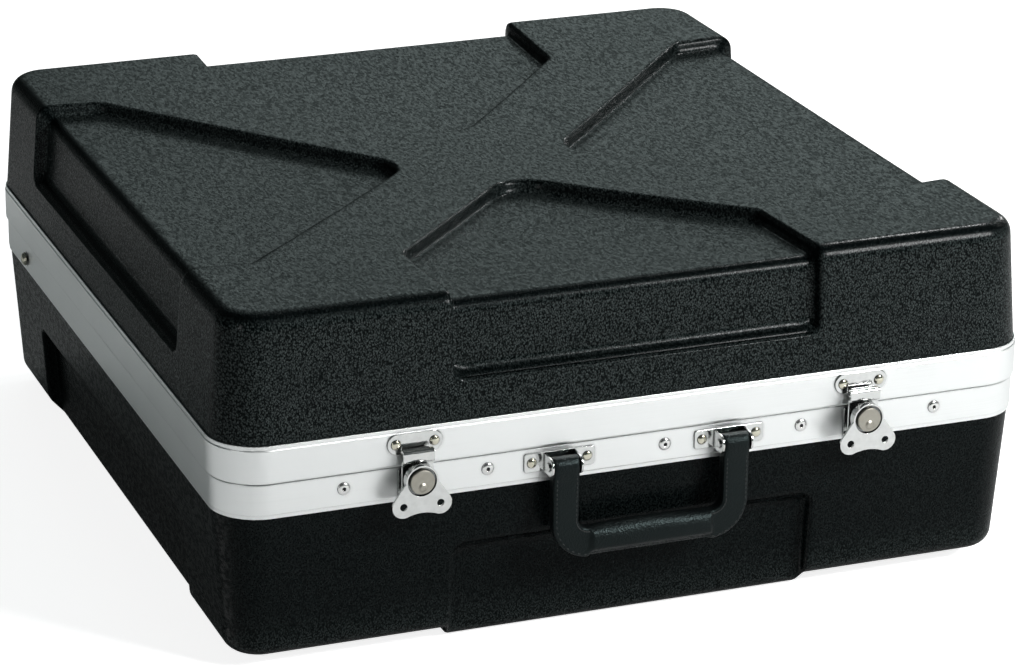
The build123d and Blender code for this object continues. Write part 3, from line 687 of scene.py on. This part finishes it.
def strap():
    """Strap handle: a superellipse section carried along the strap's middle line.

    The section is flat and square-edged on the legs and the corners. Along the grip it swells to a
    round pad that leans to a thin stitched seam at its lower edge. The ends close round the pins.
    """
    total = strap_path(np.zeros(1))[4]
    cap = LOOP * np.cos(np.linspace(0, pi / 2, 9))[:-1]
    s = np.concatenate([-cap, np.linspace(0, total, 230), total + cap[::-1]])
    x, z, angle, mirrored, _ = strap_path(np.clip(s, 0, total))
    past = np.maximum(-s, 0) + np.maximum(s - total, 0)
    around = np.linspace(0, 2 * pi, 65)[:-1]
    bar = smoothstep(angle, 0, pi / 2)
    swell = strap_swell(x)
    width = LEG_HALF + (BAR_HALF - LEG_HALF) * bar
    on_leg = smoothstep(-z, 0, LEG_THINS)
    depth = LOOP + (LEG_DEPTH - LOOP) * on_leg + swell * (GRIP_DEPTH - LEG_DEPTH)
    depth = np.where(past > 0, np.sqrt(np.maximum(LOOP ** 2 - past ** 2, 0)), depth)
    # the section's power: low is square, 1 is an ellipse
    boxy = 0.32 + 0.55 * swell
    c, d = np.cos(around)[None, :], np.sin(around)[None, :]
    across = np.sign(c) * np.abs(c) ** boxy[:, None] * width[:, None]
    deep = np.sign(d) * np.abs(d) ** boxy[:, None] * depth[:, None]
    crown = 0.15 * swell * np.cos(np.clip(x / GRIP_END, -1, 1) * pi / 2)
    across = np.where(across < 0, across * (1 + crown[:, None]), across)
    seam = 0.34 + 0.66 * smoothstep(-across, -BAR_HALF + 1.5, -BAR_HALF + 6.5)
    deep = deep * (1 - swell[:, None] * (1 - seam))
    normal_x, normal_z = -np.cos(angle) * mirrored, -np.sin(angle)
    points = np.stack([HANDLE_MIDDLE + x[:, None] + across * normal_x[:, None], PIN_Y + deep,
                       PIN_Z + (z + past)[:, None] + across * normal_z[:, None]], -1)
    thing = closed(piece("strap_handle", points.reshape(-1, 3), [quads(len(s), len(around), False, True)],
                         "handle", [VINYL], ["handle_grip"]))
    return total


def stitches(total):
    """Stitches along the strap's edges: small ellipsoids set into both faces."""
    first, pitch, from_edge = 8, 3.0, 2.0
    half_length, half_thread = 1.0, 0.38
    seam_depth, set_in = 0.36 * GRIP_DEPTH, 0.985  # half depth at the grip's seam; share of it on the bare strap
    s = np.arange(first, total - first, pitch)
    x, z, angle, mirrored, _ = strap_path(s)
    bar = smoothstep(angle, 0, pi / 2)
    width = LEG_HALF + (BAR_HALF - LEG_HALF) * bar
    swell = strap_swell(x)
    on_leg = smoothstep(-z, 0, LEG_THINS)
    depth = LOOP + (LEG_DEPTH - LOOP) * on_leg
    spots, lines = [], []
    for edge in (1, -1):
        keep = np.ones(len(s), bool) if edge > 0 else (swell < 0.05)
        inset = (width - from_edge)[keep] * edge
        nx, nz = -np.cos(angle[keep]) * mirrored[keep], -np.sin(angle[keep])
        deep = np.where(swell[keep] > 0.5, seam_depth, depth[keep] * set_in)
        for face in (-1, 1):
            spots.append(np.stack([HANDLE_MIDDLE + x[keep] + inset * nx, PIN_Y + face * deep,
                                   PIN_Z + z[keep] + inset * nz], -1))
            lines.append(np.stack([np.sin(angle[keep]) * mirrored[keep], np.zeros(keep.sum()),
                                   -np.cos(angle[keep])], -1))
    spots, lines = np.concatenate(spots), np.concatenate(lines)
    sides, rings = 6, 5
    around, down = np.linspace(0, 2 * pi, sides + 1)[:-1], np.linspace(0, pi, rings)
    ball = np.stack([np.outer(np.cos(down), np.ones(sides)), np.outer(np.sin(down), np.cos(around)),
                     np.outer(np.sin(down), np.sin(around))], -1).reshape(-1, 3)
    beside = np.cross(lines, (0, 1, 0))
    points = (spots[:, None] + ball[None, :, :1] * half_length * lines[:, None]
              + ball[None, :, 1:2] * half_thread * beside[:, None]
              + ball[None, :, 2:] * half_thread * np.array((0, 1, 0)))
    faces = quads(rings, sides, False, True)[None] + np.arange(len(spots))[:, None, None] * len(ball)
    closed(piece("handle_stitches", points.reshape(-1, 3), [faces.reshape(-1, 4)], "handle", [THREAD]),
           gap=0.001)


stitches(strap())


# ---------------------------------------------------------------- metal parts

def oblong(width, height, radius, middle):
    """Rectangle with rounded corners, as a closed outline."""
    x, y = width / 2, height / 2
    corners = [(-x, -y), (x, -y), (x, y), (-x, y)]
    return rounded_outline(corners, [radius] * 4, 6) + np.asarray(middle, float)


def handle_bracket(side):
    """Plate with two ears that stand out round the strap's end and hold its pin."""
    edge, plate_thickness = 0.3, 1.2
    ear_middle, ear_half, ear_root, nose_radius = 9.55, 0.65, 0.4, 6
    plate = oblong(width=46, height=12, radius=1.6, middle=(0, -9.5))
    foot = (SIDES[side] * LEG_X + HANDLE_MIDDLE, FRAME_FACE, PARTING)
    shapes = [placed(prism(plate, 0, plate_thickness, edge), foot, (0, -1, 0))]
    turn = np.linspace(-pi / 2, pi / 2, 17)
    nose = np.stack([PIN_OUT + nose_radius * np.cos(turn), nose_radius * np.sin(turn) - PIN_DOWN], 1)
    ear = np.concatenate([[(ear_root, -PIN_DOWN - nose_radius)], nose, [(ear_root, nose_radius - PIN_DOWN)]])
    for way in (-1, 1):
        points, groups = prism(ear, way * ear_middle - ear_half, way * ear_middle + ear_half, edge)
        shapes.append((np.stack([points[:, 2], -points[:, 0], points[:, 1]], 1) + foot, groups))
    points, groups = together(shapes)
    weighted(closed(piece(f"bracket_{side}", points, groups, "base", [NICKEL],
                          [f"handle_bracket_{side}"])))


def dome(radius, height, hollow=0.0):
    """Elliptical rise from the foot of a rivet's head to its crown, or to the rim of its hole."""
    share = np.linspace(0, 1, 9)
    return np.stack([radius - (radius - hollow) * share, height * np.sqrt(1 - (1 - share) ** 2)], 1)


def rivet_profile(depth, head, hole=()):
    """Shank of a rivet down to its depth, its head and the hole in it, as (radius, height) points."""
    shank = 1.6
    parts = [[(0, -depth), (shank, -depth), (shank, 0.0)], head] + ([hole] if hole else [])
    return np.concatenate(parts)


def rivets():
    """Domed rivets in place of the plain ones; a blind rivet's mandrel hole is near black: painted shade."""
    mandrel_hole = [(1.1, 1.15), (1.05, 0.45), (0, 0.4)]
    blind = rivet_profile(5.5, dome(4.1, 1.3, 1.35), mandrel_hole)
    small = rivet_profile(6.0, dome(3.3, 1.6))
    large = rivet_profile(5.5, dome(4.8, 3.0))
    # start of the CAD name: profile, height of the CAD head, metal and slot
    kinds = {"frame_rivet": (blind, 1.3, RIVET, "rivet_aluminium"),
             "keeper_rivet": (small, 1.6, BRASS, "nickel_rivet"),
             "bracket_rivet": (small, 1.6, BRASS, "nickel_rivet"),
             "side_rivet": (large, 0.8, BRASS, "brass_rivet")}
    for node in nodes:
        for start, (profile, height, material, slot) in kinds.items():
            if not node.startswith(start):
                continue
            low, high = (np.array(corner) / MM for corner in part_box(node))
            middle = (low + high) / 2
            if start == "side_rivet":
                outward = np.array((-1.0 if "left" in node else 1.0, 0, 0))
            else:
                outward = np.array((0, 1.0 if "rear" in node else -1.0, 0))
            crown = np.where(outward > 0, high, low)
            foot = np.where(outward != 0, crown, middle) - outward * height
            points, groups = placed(turned(profile), foot, outward)
            rows = np.arange(len(groups[0])) // AROUND
            in_hole = (rows >= len(profile) - len(mandrel_hole)) & (start == "frame_rivet")
            body = "lid" if start == "keeper_rivet" else "base"
            # faces in a blind rivet's hole take the near-black painted shade
            weighted(closed(piece(f"domed_{node}", points, groups, body, [material, PAINTED_HOLE_SHADE], [node], in_hole)))


for side in SIDES:
    finished(f"keeper_{side}", "lid", NICKEL)
    finished(f"latch_plate_{side}", "base", NICKEL)
    finished(f"latch_hook_{side}", f"hook_{side}", NICKEL, edge=0.2)
    finished(f"latch_key_{side}", f"key_{side}", NICKEL, edge=0.7)
    handle_bracket(side)
rivets()

FINISHES = {"latch_disc": CAM_NICKEL, "handle_pin": NICKEL, "hinge": NICKEL, "rack_rail": PAINT,
            "rail_bracket": PAINT, "rail_bolt": RIVET}
for node, thing in nodes.items():
    for start, material in FINISHES.items():
        if node.startswith(start):
            thing.data.materials.clear()
            thing.data.materials.append(material)


# ---------------------------------------------------------------- stage, light and camera

class Sky(Finish):
    """The world's own nodes, handled as a finish is."""

    def __init__(self, world):
        world.use_nodes = True
        self.tree = world.node_tree
        self.shader = self.tree.nodes["Background"]


def seen_plainly(finish):
    """1 for what the camera sees, straight or through glass, and 0 for what lights the object.

    The second maximum starts from the camera's share again, so the glossy rays' share is lost and
    bright metal mirrors the floor as the lamps light it.
    """
    kinds = [finish.add("ShaderNodeLightPath", output=f"Is {kind} Ray")
             for kind in ("Camera", "Glossy", "Transmission")]
    return kinds[0].math("MAXIMUM", kinds[0], kinds[1]).math("MAXIMUM", kinds[0], kinds[2])


def lamp(name, place, aim, size, power):
    """Rectangular soft lamp that the camera doesn't see."""
    light = bpy.data.lights.new(name, "AREA")
    light.shape, light.size, light.size_y, light.energy = "RECTANGLE", size[0], size[1], power
    thing = bpy.data.objects.new(name, light)
    bpy.context.scene.collection.objects.link(thing)
    thing.location, thing.visible_camera = place, False
    thing.rotation_euler = (Vector(aim) - Vector(place)).to_track_quat("-Z", "Y").to_euler()


def floor():
    """Wide pale floor, white to the camera apart from a soft grey patch of painted shade behind the case on the left.
    """
    glow, shade_depth, half, drop = 0.85, 0.7, 25, 0.0005
    finish = Finish("floor", Roughness=0.9, Specular_IOR_Level=0.0, Base_Color=(0.85, 0.85, 0.85, 1),
                    Emission_Strength=glow)
    x, y = finish.axes(finish.add("ShaderNodeTexCoord", output="Object"), "XY")
    left = x * -1
    # a soft grey patch of painted shade on the floor behind the case on the left
    shade = left.band(0.37, 0.5) * (1 - left.band(1.2, 2.6)) * y.band(-0.05, 0.5) * (1 - y.band(1.4, 2.8))
    lit = seen_plainly(finish) * (1 - shade * shade_depth)
    finish.feed(Emission_Color=finish.blend(lit, (0.0, 0.0, 0.0), (1.0, 1.0, 1.0)))
    mesh = bpy.data.meshes.new("floor")
    mesh.from_pydata([(-half, -half, -drop), (half, -half, -drop), (half, half, -drop), (-half, half, -drop)],
                     [], [(0, 1, 2, 3)])
    mesh.materials.append(finish.material)
    thing = bpy.data.objects.new("floor", mesh)
    bpy.context.scene.collection.objects.link(thing)


def studio():
    """Dim surroundings with a bright backdrop behind the case, and four soft lamps.

    The backdrop is the sum of a low part to the right and a part that starts higher up.
    """
    world = bpy.data.worlds.new("studio")
    bpy.context.scene.world = world
    sky = Sky(world)
    x, y, z = sky.axes(sky.add("ShaderNodeTexCoord", output="Generated"), "XYZ")
    low = x.band(0.18, 0.40) * (1 - z.band(0.30, 0.60)) * 0.4
    high = z.band(0.22, 0.42) * (1 - z.band(0.60, 0.90) * 0.6) * x.band(-0.1, 0.2) * 0.74
    backdrop = y.band(-0.2, 0.7) * (low + high) * (1 - x.band(0.42, 0.56) * 0.4)
    sky.feed(Strength=0.05 + backdrop * 0.85, Color=(0.84, 1, 0.985, 1))
    lamp("key", (1.25, -1.7, 1.5), aim=(0.1, -0.1, 0.1), size=(0.7, 0.6), power=63)
    lamp("rim", (1.9, 1.3, 0.8), aim=(0, 0, 0.15), size=(0.25, 0.25), power=7)
    lamp("overhead", (0.85, 0.45, 1.4), aim=(0.1, -0.1, 0.2), size=(0.2, 0.15), power=4)
    lamp("strip", (-2.2, -1.5, 0.8), aim=(0, 0, 0.1), size=(0.2, 1.0), power=6)


def camera():
    """Camera at the photograph's angle: taken from the front, left and above.

    The focal length and the point on the camera's axis are in pixels of the picture. That point
    isn't the picture's middle, so the lens is shifted.
    """
    yaw, pitch, roll = 0.32889, 0.31632, -0.00326
    place = (-0.85453, -2.200866, 1.001471)
    picture_width, middle, on_axis, focal = 1024, (512, 334), (338.240, 146.356), 3702.011
    ahead = np.array([sin(yaw) * cos(pitch), cos(yaw) * cos(pitch), -sin(pitch)])
    right = np.array([cos(yaw), -sin(yaw), 0.0])
    up = np.cross(right, ahead)
    right, up = right * cos(roll) + up * sin(roll), -right * sin(roll) + up * cos(roll)
    lens = bpy.data.cameras.new("camera")
    lens.sensor_width, lens.lens = 36.0, focal / picture_width * 36.0
    lens.shift_x = (middle[0] - on_axis[0]) / picture_width
    lens.shift_y = (on_axis[1] - middle[1]) / picture_width
    thing = bpy.data.objects.new("camera", lens)
    bpy.context.scene.collection.objects.link(thing)
    thing.matrix_world = Matrix([[right[n], up[n], -ahead[n], place[n]] for n in range(3)] + [[0, 0, 0, 1]])
    bpy.context.scene.camera = thing


floor()
studio()
camera()
bpy.context.scene.view_settings.view_transform = "Standard"
